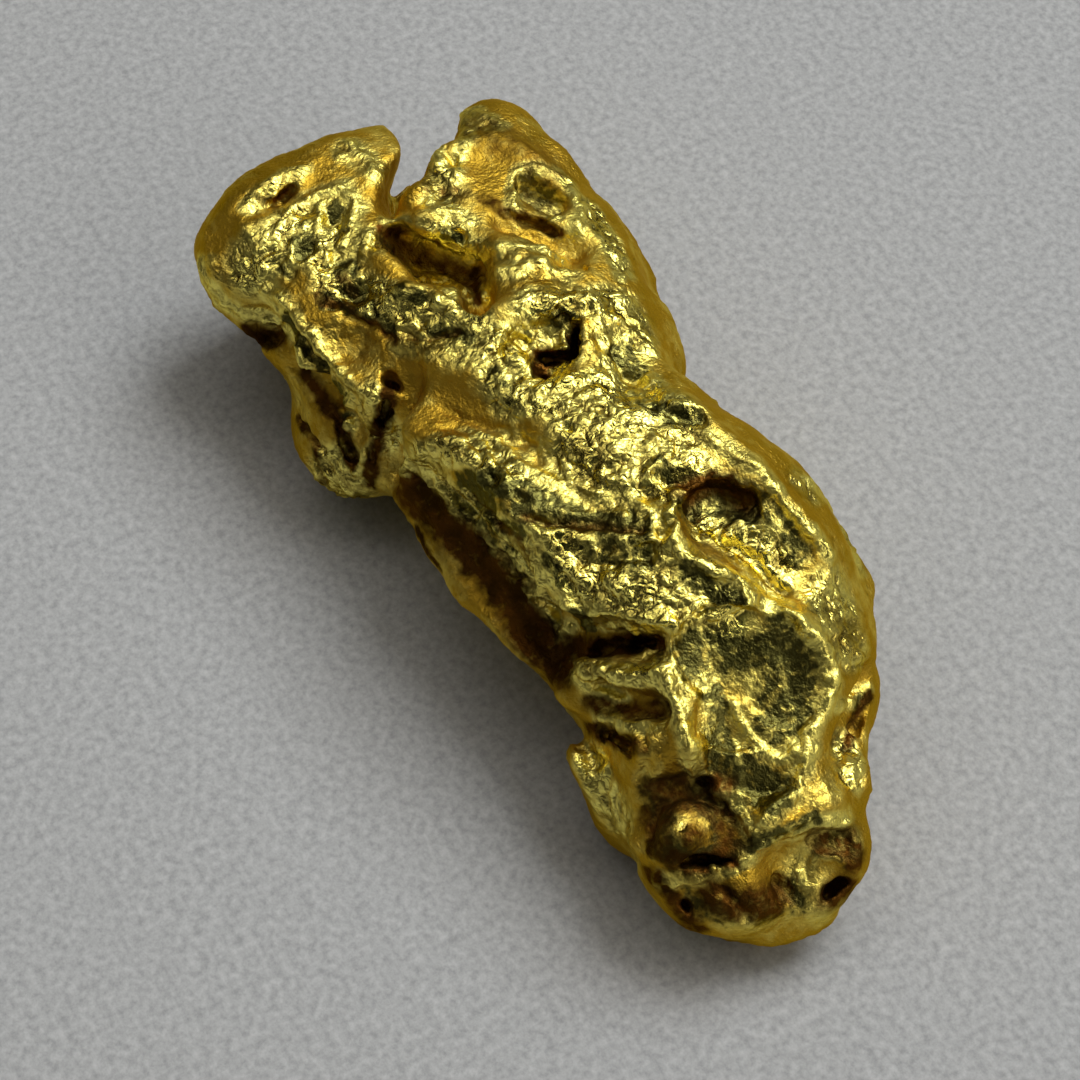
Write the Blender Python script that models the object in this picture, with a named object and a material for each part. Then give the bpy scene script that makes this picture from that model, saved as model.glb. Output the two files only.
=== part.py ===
"""Gold nugget: one water-worn lump of native gold, lying flat, forked at -X and rounded to a nose at +X.

Metres, +Z up. The origin is on the floor under the middle of the nugget, and X runs along its length.
The lump is lofted through its cross-sections, melted together with its lobes and ledges, cut by its
deep hollows, and then dented, grooved and ridged by moving the skin, as a stream hammers soft metal.
It is modelled in millimetres, and its last step scales it to metres.
"""

import math

import bmesh
import bpy
import numpy as np
from mathutils import Matrix, Vector

MM = 0.001

# Driving dimensions, in millimetres. Every table below is in millimetres too.
LENGTH = 11.62
WIDTH = 5.11
HEIGHT = 3.52
SKIN_VOXEL = 0.08
BODY_RELAX = 14  # smoothing passes over the lump while it is only body and lobes
HOLLOW_RELAX = 6  # over it once the hollows are cut
SKIN_RELAX = 1  # over the finished skin, which stays crisp
RELAX_FACTOR = 0.5
EGG_SUBDIVISIONS = 3
MAX_TRIANGLES = 9600
BASE_PRESS = 0.24  # the underside below this height is pressed flat onto the floor
BASE_BLEND = 0.65  # the skin above this height keeps its place
FLAT_WITHIN = 0.01  # points this near the floor lie on it exactly

# Cross-sections along the nugget: x, y of the left side, y of the right side, and then the heights of
# the widest point and of the top.
SECTIONS = (
    (-5.60, -2.05, 1.20, 1.80, 2.20),
    (-5.15, -2.42, 1.95, 1.70, 2.70),
    (-4.20, -2.48, 2.35, 1.60, 2.95),
    (-3.20, -2.38, 2.44, 1.50, 3.10),
    (-2.20, -2.22, 2.36, 1.50, 3.25),
    (-1.20, -1.98, 2.10, 1.50, 3.35),
    (-0.30, -1.92, 1.84, 1.45, 3.40),
    (0.70, -1.85, 2.00, 1.40, 3.50),
    (1.80, -1.68, 2.36, 1.40, 3.50),
    (2.80, -1.52, 2.24, 1.35, 3.30),
    (3.80, -1.70, 1.85, 1.25, 2.85),
    (4.60, -1.88, 1.20, 1.10, 2.35),
    (5.20, -1.80, 0.72, 1.00, 1.90),
    (5.60, -1.35, 0.32, 0.90, 1.45),
)
RING_POINTS = 40
TOP_SQUARENESS = 0.80  # below 1 the shoulders are fuller than an ellipse's
UNDER_SQUARENESS = 1.10

# Lobes and ledges that stand out of the body: centre, half-sizes, and turns about Z and then about Y
# in degrees.
LUMPS = {
    "left horn": ((-5.08, -0.70, 2.05), (0.78, 1.76, 0.76), (0, 0)),
    "left shoulder": ((-4.58, -1.78, 1.75), (1.18, 0.95, 1.05), (0, 0)),
    "right horn": ((-4.12, 1.32, 2.05), (1.28, 0.85, 0.90), (-20, 0)),
    "under ledge": ((-2.35, -1.97, 0.92), (1.05, 0.55, 0.58), (10, 0)),
    "fin": ((3.66, -1.60, 0.85), (0.92, 0.26, 0.60), (6, 0)),
    "chin": ((4.95, -0.88, 0.95), (0.88, 0.88, 0.80), (0, 0)),
    "cheek": ((5.15, 0.02, 1.15), (0.84, 0.58, 0.70), (10, 0)),
}

# Hollows cut right into the metal: centre, half-sizes and turns, as above.
HOLLOWS = {
    "fork slot": ((-4.70, 0.52, 1.70), (0.62, 0.19, 3.00), (-46, 31)),
    "fork mouth": ((-5.42, 1.03, 1.70), (0.62, 0.33, 3.00), (-30, 32)),
    "deep recess": ((-2.92, -0.26, 2.95), (0.40, 0.72, 0.95), (-38, 36)),
    "recess tail": ((-2.00, -0.15, 3.00), (0.42, 0.16, 0.70), (-25, 20)),
    "heart hole": ((-0.90, 0.04, 3.15), (0.40, 0.40, 0.95), (-30, 25)),
    "fin gap": ((3.30, -1.36, 1.15), (0.62, 0.11, 0.70), (12, 0)),
}

# Bits that lie in or over the hollows, melted on last: centre, half-sizes and turns, as above.
BITS = {
    "shelf": ((-3.20, 0.12, 2.86), (0.55, 0.28, 0.26), (28, 0)),
    "shelf end": ((-2.62, 0.32, 2.92), (0.34, 0.26, 0.28), (10, 0)),
    "hole lump": ((-0.72, -0.10, 2.60), (0.24, 0.22, 0.30), (0, 0)),
}

# Dents pressed into the skin, deepest at the path and crisp at the rim: path, half-width, depth.
DENTS = {
    "side hollow": (((0.20, -1.90, 2.15), (1.20, -1.75, 2.22), (1.95, -1.62, 2.10)), 0.56, 0.44),
    "side hollow start": (((-0.45, -1.95, 2.20), (0.20, -1.90, 2.20)), 0.42, 0.30),
    "lip gap": (((-0.75, -2.05, 1.60), (-0.20, -2.00, 1.60)), 0.14, 0.24),
    "crevice": (((-1.50, -1.45, 3.00), (-1.30, -1.85, 2.45), (-1.20, -2.05, 1.60)), 0.22, 0.40),
    "crevice head": (((-1.48, -1.52, 2.88),), 0.24, 0.50),
    "flank groove": (((-3.00, -2.30, 1.80), (-2.26, -2.21, 1.90), (-1.85, -2.15, 1.80)), 0.21, 0.36),
    "flank channel": (((-3.30, -2.10, 2.45), (-2.60, -2.12, 2.35), (-2.00, -2.02, 2.40)), 0.15, 0.12),
    "flank pit": (((-3.60, -2.38, 2.02), (-3.20, -2.28, 2.15)), 0.26, 0.30),
    "saddle": (((-2.40, -1.70, 2.75), (-1.80, -1.50, 2.90)), 0.42, 0.24),
    "channel": (
        (
            (-1.15, -1.30, 3.00), (-0.42, -0.98, 3.22), (0.79, -0.68, 3.40),
            (1.34, -0.50, 3.42),
        ),
        0.32,
        0.20,
    ),
    "slit": (((2.25, -1.38, 2.52), (2.98, -0.86, 2.95)), 0.21, 0.42),
    "lower pit": (((2.85, -1.45, 2.20), (3.60, -1.05, 2.68)), 0.22, 0.34),
    "right oval": (((2.10, 0.55, 3.42), (2.95, 0.85, 3.20)), 0.52, 0.30),
    "right oval deep end": (((2.05, 0.62, 3.40),), 0.34, 0.46),
    "nose facet": (((3.75, 0.05, 2.90), (4.45, -0.35, 2.48)), 0.72, 0.16),
    "knob socket": (((4.72, -1.37, 2.06),), 0.86, 0.44),
    "right notch": (((4.10, 1.45, 1.80), (4.75, 0.75, 2.05)), 0.28, 0.34),
    "front recess": (((5.51, -0.51, 1.58),), 0.46, 0.26),
    "front corner": (((5.77, -0.10, 1.40),), 0.24, 0.24),
    "front pit": (((5.23, -1.66, 1.45),), 0.24, 0.26),
    "horn slit": (((-4.80, -1.75, 2.75), (-4.90, -1.00, 2.76)), 0.17, 0.18),
    "horn facet": (((-4.40, -1.10, 2.88), (-3.85, -1.15, 2.90)), 0.38, 0.10),
    "horn patch": (((-3.40, -1.20, 2.90), (-2.90, -1.05, 3.00)), 0.40, 0.12),
    "recess rim step": (((-2.45, -1.20, 2.98), (-1.85, -0.80, 3.13)), 0.24, 0.08),
    "right pit": (((-3.00, 1.30, 2.98),), 0.34, 0.22),
    "right crevice": (((-2.90, 0.70, 3.10), (-2.15, 1.35, 3.08), (-1.95, 1.05, 3.12)), 0.17, 0.34),
    "right facet": (((-0.40, 0.90, 3.25), (0.10, 0.80, 3.30)), 0.42, 0.14),
    "middle facet": (((0.75, -0.75, 3.38), (1.60, -0.15, 3.48)), 0.42, 0.14),
    "middle dimple": (((1.85, -0.75, 3.25),), 0.34, 0.14),
    "waist": (((-0.10, 1.95, 1.90), (0.45, 2.00, 1.80)), 0.75, 0.16),
    "back fold": (((-4.20, 2.20, 1.10), (-2.60, 2.40, 1.30), (-1.20, 2.10, 1.00)), 0.32, 0.30),
    "back hollow": (((1.50, 2.35, 1.35), (2.40, 2.35, 1.25)), 0.62, 0.30),
    "back pit": (((-0.60, 1.95, 1.20),), 0.36, 0.26),
    "back crease": (((-3.60, 2.40, 2.30), (-3.10, 2.45, 1.75)), 0.20, 0.22),
    "back nose hollow": (((3.70, 1.75, 1.00), (4.30, 1.35, 0.85)), 0.45, 0.24),
    "horn end hollow": (((-5.85, -1.30, 1.45), (-5.85, -0.60, 1.25)), 0.60, 0.28),
    "horn end crease": (((-5.80, -0.10, 2.20), (-5.80, -1.00, 2.15)), 0.20, 0.16),
    "fork end hollow": (((-5.50, 1.40, 1.50),), 0.55, 0.24),
    "shoulder hollow": (((-4.70, -2.60, 1.20), (-3.90, -2.45, 0.95)), 0.50, 0.26),
    "belly hollow": (((-0.60, -1.60, 0.45), (1.60, -1.40, 0.45)), 0.50, 0.26),
    "belly crease": (((-2.60, 0.60, 0.00), (-0.80, -0.30, 0.00), (0.60, 0.30, 0.00)), 0.26, 0.22),
    "belly pit": (((2.60, 0.60, 0.00),), 0.45, 0.24),
}

# Ridges raised out of the skin, sharpest at the path: path, half-width, height.
RIDGE_SHARPNESS = 1.6  # above 1 a ridge's sides are hollow and its crest is thin
RIDGES = {
    "side lip": (
        (
            (-1.05, -2.00, 1.45), (0.10, -1.90, 1.30), (1.40, -1.72, 1.55),
            (2.60, -1.53, 1.75),
        ),
        0.28,
        0.20,
    ),
    "left ridge": (
        (
            (-1.00, -1.70, 2.70), (-0.20, -1.35, 3.00), (0.50, -1.20, 3.10),
            (1.30, -1.15, 3.05),
        ),
        0.28,
        0.20,
    ),
    "hole rim": (
        (
            (-1.60, -0.30, 3.30), (-1.45, 0.35, 3.32), (-1.10, 0.85, 3.25),
            (-0.60, 0.95, 3.28),
        ),
        0.24,
        0.18,
    ),
    "hole wall": (((-1.05, 0.62, 3.28), (-0.55, 0.45, 3.34)), 0.18, 0.14),
    "recess rim": (
        (
            (-3.45, -0.92, 3.00), (-2.90, -0.98, 3.08), (-2.35, -0.80, 3.15),
            (-1.80, -0.48, 3.26),
        ),
        0.22,
        0.18,
    ),
    "right line": (
        ((0.00, 1.00, 3.25), (1.00, 1.05, 3.40), (2.10, 1.30, 3.25), (3.05, 1.55, 2.85)),
        0.28,
        0.18,
    ),
    "oval rim": (
        (
            (1.70, 0.50, 3.48), (1.80, 0.10, 3.46), (2.40, -0.05, 3.36), (2.80, 0.20, 3.28),
            (3.50, 0.50, 3.00),
        ),
        0.20,
        0.16,
    ),
    "nose left line": (
        (
            (3.05, -0.85, 2.95), (3.72, -0.95, 2.70), (4.15, -1.02, 2.50),
            (5.00, -0.78, 2.03),
        ),
        0.24,
        0.20,
    ),
    "nose right line": (
        (
            (3.40, 0.75, 2.98), (4.10, 0.85, 2.50), (4.50, 0.35, 2.36), (4.95, -0.22, 2.08),
            (5.03, -0.75, 2.02),
        ),
        0.24,
        0.20,
    ),
    "nose middle line": (((3.94, -0.45, 2.72), (4.25, -0.36, 2.55), (4.60, -0.05, 2.34)), 0.17, 0.12),
    "nose short line": (((4.28, -0.52, 2.54), (4.66, -0.72, 2.28)), 0.15, 0.08),
    "brow": (
        (
            (4.20, -1.85, 1.40), (5.10, -1.43, 1.80), (5.08, -0.68, 2.00),
            (5.15, 0.44, 1.80),
        ),
        0.24,
        0.20,
    ),
    "front blade": (((5.55, -0.25, 1.75), (5.78, -0.32, 1.15)), 0.17, 0.20),
    "flank line": (
        (
            (-3.60, -2.05, 2.50), (-2.96, -1.98, 2.55), (-2.50, -2.03, 2.46),
            (-1.95, -1.92, 2.52),
        ),
        0.18,
        0.16,
    ),
    "flank lower line": (
        (
            (-4.60, -2.50, 2.30), (-3.90, -2.40, 2.15), (-3.20, -2.15, 2.38),
            (-2.70, -2.20, 2.20),
        ),
        0.20,
        0.14,
    ),
    "horn crest": (((-5.10, -1.90, 2.50), (-5.20, -1.00, 2.55), (-4.85, -0.25, 2.60)), 0.30, 0.12),
    "right crest": (((-4.30, 0.60, 2.90), (-4.15, 1.25, 2.85), (-3.60, 1.60, 2.85)), 0.32, 0.16),
    "right knuckle": (((-4.20, 0.40, 2.90), (-3.75, 0.55, 2.98)), 0.26, 0.14),
    "right block": (((-2.55, 0.35, 3.15), (-1.90, 0.70, 3.25)), 0.26, 0.18),
    "right block edge": (((-2.15, 0.10, 3.20), (-1.60, 0.50, 3.28)), 0.18, 0.12),
    "slit brow": (((2.35, -1.50, 2.25), (2.90, -1.35, 2.45), (3.40, -1.05, 2.75)), 0.18, 0.16),
    "column": (((3.75, -1.30, 2.40), (4.20, -1.45, 2.15)), 0.28, 0.16),
    "back ledge": (
        (
            (-4.60, 2.00, 1.70), (-3.00, 2.45, 1.80), (-1.40, 2.25, 1.55),
            (-0.20, 1.90, 1.70),
        ),
        0.28,
        0.20,
    ),
    "back brow": (((1.00, 2.10, 2.00), (2.00, 2.40, 1.95), (3.10, 2.15, 1.70)), 0.28, 0.18),
    "back root": (((1.30, 2.10, 0.60), (2.60, 2.10, 0.55), (3.60, 1.60, 0.50)), 0.30, 0.18),
    "horn end line": (((-5.75, -1.90, 1.80), (-5.90, -1.00, 1.90), (-5.80, -0.20, 1.70)), 0.30, 0.08),
}

# Rounded bosses raised out of the skin: centre, half-width, height.
BOSSES = {
    "knob": (((4.68, -1.33, 1.72),), 0.50, 0.52),
    "brow boss": (((5.05, 0.15, 1.95),), 0.34, 0.14),
    "right bump": (((4.95, 0.75, 1.55),), 0.34, 0.16),
    "ringed bump": (((1.75, -1.15, 2.95),), 0.24, 0.12),
    "ringed bump beside": (((2.25, -0.80, 3.12),), 0.24, 0.12),
    "back boss": (((-2.20, 2.35, 0.75),), 0.50, 0.22),
    "end boss": (((-5.55, 0.95, 2.00),), 0.36, 0.16),
}

# Hammer marks of every size over the whole skin, drawn from a seeded run.
MARKS = 420
MARK_SEED = 7
MARK_WIDTHS = (0.30, 0.90)
MARK_DEPTHS = (0.07, 0.20)
TOP_CALM = 0.40  # share of a mark's depth that is kept where the skin faces up


def ring(x, left, right, waist, top):
    """Points of one cross-section: an ellipse with full shoulders."""
    middle, half = (left + right) / 2, (right - left) / 2
    points = []
    for step in range(RING_POINTS):
        angle = 2 * math.pi * step / RING_POINTS
        c, s = math.cos(angle), math.sin(angle)
        rise, squareness = (top - waist, TOP_SQUARENESS) if s > 0 else (waist, UNDER_SQUARENESS)
        y = middle + half * math.copysign(abs(c) ** squareness, c)
        z = waist + rise * math.copysign(abs(s) ** squareness, s)
        points.append(Vector((x, y, z)))
    return points


def loft(mesh, sections):
    rings = [[mesh.verts.new(p) for p in ring(*section)] for section in sections]
    edges = []
    for loop in rings:
        edges.append([mesh.edges.new((loop[i], loop[(i + 1) % RING_POINTS])) for i in range(RING_POINTS)])
    for first, second in zip(edges, edges[1:]):
        bmesh.ops.bridge_loops(mesh, edges=first + second)
    mesh.faces.new(rings[0])
    mesh.faces.new(rings[-1])
    bmesh.ops.recalc_face_normals(mesh, faces=mesh.faces)


def add_egg(mesh, centre, half_sizes, turns):
    """An ellipsoid, turned about Z and leaned about its own Y."""
    place = (
        Matrix.Translation(centre)
        @ Matrix.Rotation(math.radians(turns[0]), 4, "Z")
        @ Matrix.Rotation(math.radians(turns[1]), 4, "Y")
        @ Matrix.Diagonal((*half_sizes, 1))
    )
    bmesh.ops.create_icosphere(mesh, subdivisions=EGG_SUBDIVISIONS, radius=1, matrix=place)


def make_object(name, mesh):
    data = bpy.data.meshes.new(name)
    mesh.to_mesh(data)
    mesh.free()
    made = bpy.data.objects.new(name, data)
    bpy.context.scene.collection.objects.link(made)
    return made


def bake(obj):
    """Replaces the object's mesh by what its modifiers make of it."""
    graph = bpy.context.evaluated_depsgraph_get()
    data = bpy.data.meshes.new_from_object(obj.evaluated_get(graph))
    before = obj.data
    obj.modifiers.clear()
    obj.data = data
    bpy.data.meshes.remove(before)


def melt(obj, relax):
    """One even skin over everything that the object holds, relaxed by a few passes."""
    remesh = obj.modifiers.new("melt", "REMESH")
    remesh.mode = "VOXEL"
    remesh.voxel_size = SKIN_VOXEL
    smooth = obj.modifiers.new("relax", "SMOOTH")
    smooth.factor = RELAX_FACTOR
    smooth.iterations = relax
    bake(obj)


def cut_hollows(obj, hollows):
    """One Boolean for each hollow. The cutters have done their work once the cuts are baked."""
    cutters = []
    for name, hollow in hollows.items():
        mesh = bmesh.new()
        add_egg(mesh, *hollow)
        cutter = make_object(name, mesh)
        cutter.hide_render = True
        cutter.display_type = "WIRE"
        cut = obj.modifiers.new(name, "BOOLEAN")
        cut.operation = "DIFFERENCE"
        cut.object = cutter
        cutters.append(cutter)
    bake(obj)
    for cutter in cutters:
        bpy.data.objects.remove(cutter)


def add_bits(obj, bits):
    mesh = bmesh.new()
    mesh.from_mesh(obj.data)
    for bit in bits.values():
        add_egg(mesh, *bit)
    mesh.to_mesh(obj.data)
    mesh.free()


def read_points(obj):
    points = np.empty(len(obj.data.vertices) * 3)
    obj.data.vertices.foreach_get("co", points)
    return points.reshape(-1, 3)


def write_points(obj, points):
    obj.data.vertices.foreach_set("co", points.ravel())
    obj.data.update()


def read_normals(obj):
    normals = np.empty(len(obj.data.vertices) * 3)
    obj.data.vertex_normals.foreach_get("vector", normals)
    return normals.reshape(-1, 3)


def distance_to_path(points, path):
    """How far each point is from the nearest stretch of the path."""
    stops = np.array(path, dtype=float)
    nearest = np.linalg.norm(points - stops[0], axis=1)
    for start, end in zip(stops, stops[1:]):
        run = end - start
        along = np.clip((points - start) @ run / (run @ run), 0, 1)
        nearest = np.minimum(nearest, np.linalg.norm(points - start - along[:, None] * run, axis=1))
    return nearest


def bowl(distance, width):
    """1 at the path and 0 from the rim on, with a crisp rim."""
    return np.clip(1 - (distance / width) ** 2, 0, None)


def roof(distance, width):
    """1 at the path and 0 from the foot on, with a crisp crest and a soft foot."""
    return np.clip(1 - distance / width, 0, None) ** RIDGE_SHARPNESS


def work_skin(obj, strokes, profile, way):
    """Moves the skin along its own normals, inwards where way is -1 and outwards where it is 1.

    Where strokes cross, the deepest counts, which leaves a crisp line between them.
    """
    points, normals = read_points(obj), read_normals(obj)
    shift = np.zeros(len(points))
    for path, width, depth in strokes:
        shift = np.maximum(shift, depth * profile(distance_to_path(points, path), width))
    write_points(obj, points + way * shift[:, None] * normals)


def hammer_marks(obj):
    """Shallow dents strewn over the skin: a list of strokes."""
    rng = np.random.default_rng(MARK_SEED)
    points, normals = read_points(obj), read_normals(obj)
    strokes = []
    for index in rng.choice(len(points), MARKS, replace=False):
        width = rng.uniform(*MARK_WIDTHS)
        depth = rng.uniform(*MARK_DEPTHS) * width / MARK_WIDTHS[1]
        calm = 1 - (1 - TOP_CALM) * max(0.0, normals[index][2])
        strokes.append(((tuple(points[index]),), width, depth * calm))
    return strokes


def press_base(obj):
    """Flattens the underside, so that the nugget rests on one plane."""
    points = read_points(obj)
    height = points[:, 2]
    spread = (height - BASE_PRESS) * BASE_BLEND / (BASE_BLEND - BASE_PRESS)
    points[:, 2] = np.where(height < BASE_PRESS, 0, np.where(height < BASE_BLEND, spread, height))
    write_points(obj, points)


def thin_out(obj):
    """Spends the triangles where the skin bends most."""
    obj.data.calc_loop_triangles()
    decimate = obj.modifiers.new("thin out", "DECIMATE")
    decimate.ratio = MAX_TRIANGLES / len(obj.data.loop_triangles)
    decimate.use_collapse_triangulate = True
    bake(obj)


def fit_to_size(obj):
    """Brings the lump to its driving dimensions, standing on the floor over the origin, in metres."""
    points = read_points(obj)
    low, high = points.min(axis=0), points.max(axis=0)
    middle = np.array(((low[0] + high[0]) / 2, (low[1] + high[1]) / 2, low[2]))
    points = (points - middle) * np.array((LENGTH, WIDTH, HEIGHT)) / (high - low)
    points[points[:, 2] < FLAT_WITHIN, 2] = 0
    write_points(obj, points * MM)


def gold():
    material = bpy.data.materials.new("native_gold")
    material.use_nodes = True
    shader = material.node_tree.nodes["Principled BSDF"]
    shader.inputs["Base Color"].default_value = (0.86, 0.60, 0.16, 1)
    shader.inputs["Metallic"].default_value = 1
    shader.inputs["Roughness"].default_value = 0.28
    return material


def clear_scene():
    for obj in list(bpy.data.objects):
        bpy.data.objects.remove(obj)


def main():
    clear_scene()
    mesh = bmesh.new()
    loft(mesh, SECTIONS)
    for lump in LUMPS.values():
        add_egg(mesh, *lump)
    nugget = make_object("nugget", mesh)
    melt(nugget, BODY_RELAX)
    cut_hollows(nugget, HOLLOWS)
    add_bits(nugget, BITS)
    melt(nugget, HOLLOW_RELAX)

    work_skin(nugget, DENTS.values(), bowl, -1)
    work_skin(nugget, RIDGES.values(), roof, 1)
    work_skin(nugget, BOSSES.values(), bowl, 1)
    work_skin(nugget, hammer_marks(nugget), bowl, -1)
    melt(nugget, SKIN_RELAX)
    press_base(nugget)
    thin_out(nugget)
    fit_to_size(nugget)
    nugget.data.shade_smooth()
    nugget.data.materials.append(gold())


main()
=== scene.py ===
import itertools
import math

import bpy
import numpy as np
from mathutils import Matrix, Vector
from mathutils.bvhtree import BVHTree


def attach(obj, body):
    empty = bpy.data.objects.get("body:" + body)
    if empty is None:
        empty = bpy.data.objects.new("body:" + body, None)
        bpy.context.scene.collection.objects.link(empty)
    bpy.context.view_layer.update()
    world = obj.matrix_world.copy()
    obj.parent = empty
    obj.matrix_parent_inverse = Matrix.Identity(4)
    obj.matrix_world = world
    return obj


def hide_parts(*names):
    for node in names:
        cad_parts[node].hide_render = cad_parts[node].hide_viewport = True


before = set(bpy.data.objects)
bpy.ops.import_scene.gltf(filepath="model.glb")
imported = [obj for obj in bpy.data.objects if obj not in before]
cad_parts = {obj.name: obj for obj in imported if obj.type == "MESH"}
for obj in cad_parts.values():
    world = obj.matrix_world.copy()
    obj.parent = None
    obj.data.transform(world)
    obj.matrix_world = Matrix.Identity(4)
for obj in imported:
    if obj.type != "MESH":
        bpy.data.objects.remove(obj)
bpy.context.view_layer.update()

# A gold nugget lying on pale paper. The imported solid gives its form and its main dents. Here it gets a
# fine skin with the named ridges, pits and flats worked in crisply, a gold with grain, and then paper,
# light and a camera. Sizes are in millimetres and mm turns them into metres.

mm = 0.001
print("frame loaded")


def pick(piece):         # nothing else selected, this piece active
    if bpy.context.object and bpy.context.object.mode != "OBJECT":
        bpy.ops.object.mode_set(mode="OBJECT")
    bpy.ops.object.select_all(action="DESELECT")
    piece.select_set(True)
    bpy.context.view_layer.objects.active = piece
    return piece


def applied(piece, kind, **settings):     # a modifier, set and applied at once
    pick(piece)
    modifier = piece.modifiers.new(kind.lower(), kind)
    for name, value in settings.items():
        setattr(modifier, name, value)
    bpy.ops.object.modifier_apply(modifier=modifier.name)


def resized(piece, factor):
    pick(piece)
    bpy.ops.object.mode_set(mode="EDIT")
    bpy.ops.mesh.select_all(action="SELECT")
    bpy.ops.transform.resize(value=(factor, factor, factor), center_override=(0, 0, 0))
    bpy.ops.object.mode_set(mode="OBJECT")


def skinPoints(piece):
    points = np.empty(len(piece.data.vertices) * 3)
    piece.data.vertices.foreach_get("co", points)
    return points.reshape(-1, 3)


def skinNormals(piece):
    normals = np.empty(len(piece.data.vertices) * 3)
    piece.data.vertex_normals.foreach_get("vector", normals)
    return normals.reshape(-1, 3)


def moveSkin(piece, points):
    piece.data.vertices.foreach_set("co", points.ravel())
    piece.data.update()


def keepMark(piece, name, values):        # a value for each point, kept with the mesh for the material
    piece.data.attributes.new(name, "FLOAT", "POINT").data.foreach_set("value", np.clip(values, 0, 1))


def towards(azimuth, elevation):     # unit vector from the nugget out to a place around it
    a, e = math.radians(azimuth), math.radians(elevation)
    return Vector((math.sin(a) * math.cos(e), -math.cos(a) * math.cos(e), math.sin(e)))


view = {
    "azimuth": 60,
    "elevation": 58,
    "distance": 30.0,
    "aim": (0.382, -0.662, 1.5),
    "lens": 85,
    "sensor": 36,
    "pixels": 1080,          # the frame is a square, and its spots are counted from its top left corner
    "nearest": 1,
    "farthest": 2000,
}
outward = towards(view["azimuth"], view["elevation"])
viewSide = np.array(outward)


def sightLine(x, y):         # from the camera through a spot of the frame, one millimetre deep
    right = Vector((0, 0, 1)).cross(outward).normalized()
    up = outward.cross(right)
    pixel = view["sensor"] / view["lens"] / view["pixels"]
    middle = view["pixels"] / 2
    eye = Vector(view["aim"]) + outward * view["distance"]
    return eye, right * (x - middle) * pixel - up * (y - middle) * pixel - outward


def seenPlace(x, y, height=None):     # where the sight line meets the solid, or else a height above the paper
    eye, ray = sightLine(x, y)
    if height is None:
        return solid.ray_cast(eye, ray)[0]
    return eye + ray * (height - eye.z) / ray.z


def placed(rows):            # the same rows with each spot of a path set in space
    return {name: (*sizes, [seenPlace(*spot) for spot in path]) for name, (*sizes, path) in rows.items()}


lattice = 32             # both patterns repeat after so many cells


def softNoise(points, size, seed):        # smooth hills and dips between about -1 and 1
    slopes = np.random.default_rng(seed).normal(0, 1, (lattice, lattice, lattice, 3))
    place = points / size
    base = np.floor(place).astype(int)
    part = place - base
    blend = part ** 3 * (part * (part * 6 - 15) + 10)
    total = np.zeros(len(points))
    for corner in itertools.product((0, 1), repeat=3):
        index = (base + corner) % lattice
        slope = slopes[index[:, 0], index[:, 1], index[:, 2]]
        share = np.prod(np.where(corner, blend, 1 - blend), axis=1)
        total += share * np.sum(slope * (part - corner), axis=1)
    return total


def strayFrom(points, size, seeds):       # a soft push for each point, one noise for each axis
    return np.stack([softNoise(points, size, seed) for seed in seeds], axis=1)


def pebbles(points, size, seed):          # 0 in the creases between strewn lumps and 1 on their tops
    creaseWidth = 1.6                     # narrower with a higher number
    farAway = 9.0                         # in cells, more than any real gap
    spots = np.random.default_rng(seed).random((lattice, lattice, lattice, 3))
    place = points / size
    base = np.floor(place).astype(int)
    first, second = np.full(len(points), farAway), np.full(len(points), farAway)
    for step in itertools.product((-1, 0, 1), repeat=3):
        cell = base + step
        index = cell % lattice
        gap = np.linalg.norm(place - cell - spots[index[:, 0], index[:, 1], index[:, 2]], axis=1)
        second = np.minimum(second, np.maximum(first, gap))
        first = np.minimum(first, gap)
    return np.sqrt(np.clip((second - first) * creaseWidth, 0, 1))


def awayFrom(points, path):               # distance to the nearest stretch of a path
    stops = np.array(path)
    nearest = np.linalg.norm(points - stops[0], axis=1)
    for start, end in zip(stops, stops[1:]):
        run = end - start
        along = np.clip((points - start) @ run / (run @ run), 0, 1)
        nearest = np.minimum(nearest, np.linalg.norm(points - start - along[:, None] * run, axis=1))
    return nearest


skin = {
    "perMillimetre": 1000,   # the skin is worked on in millimetres, because a remesh can't go finer in metres
    "mergeWithin": 0.002,
    "roughCell": 0.07,
    "roughPasses": 5,        # rounds the solid's facets off
    "toolCell": 0.03,
    "toolWander": 0.08,      # how uneven the cut edges are
    "toolWanderSize": 0.20,
    "toolSeeds": (41, 42, 43),
    "cell": 0.036,
    "relaxPasses": 4,
    "relaxFactor": 0.5,
    "lastRelax": 0.3,
    "lowest": 0.004,         # nothing dips under the paper
    "triangles": 196000,
}


def nuggetCopy():
    piece = bpy.data.objects.new("nuggetSkin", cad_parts["nugget"].data.copy())
    bpy.context.scene.collection.objects.link(piece)
    pick(piece)
    bpy.ops.object.mode_set(mode="EDIT")
    bpy.ops.mesh.select_all(action="SELECT")
    bpy.ops.mesh.remove_doubles(threshold=skin["mergeWithin"] * mm)
    bpy.ops.object.mode_set(mode="OBJECT")
    resized(piece, skin["perMillimetre"])
    return piece


nugget = nuggetCopy()
solid = BVHTree.FromPolygons(
    [point.co for point in nugget.data.vertices], [tuple(face.vertices) for face in nugget.data.polygons])

# In all the tables a path's spots are pixels of the frame, and lie on the solid where they show there. A
# third number is a spot's own height above the paper in millimetres.

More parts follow.
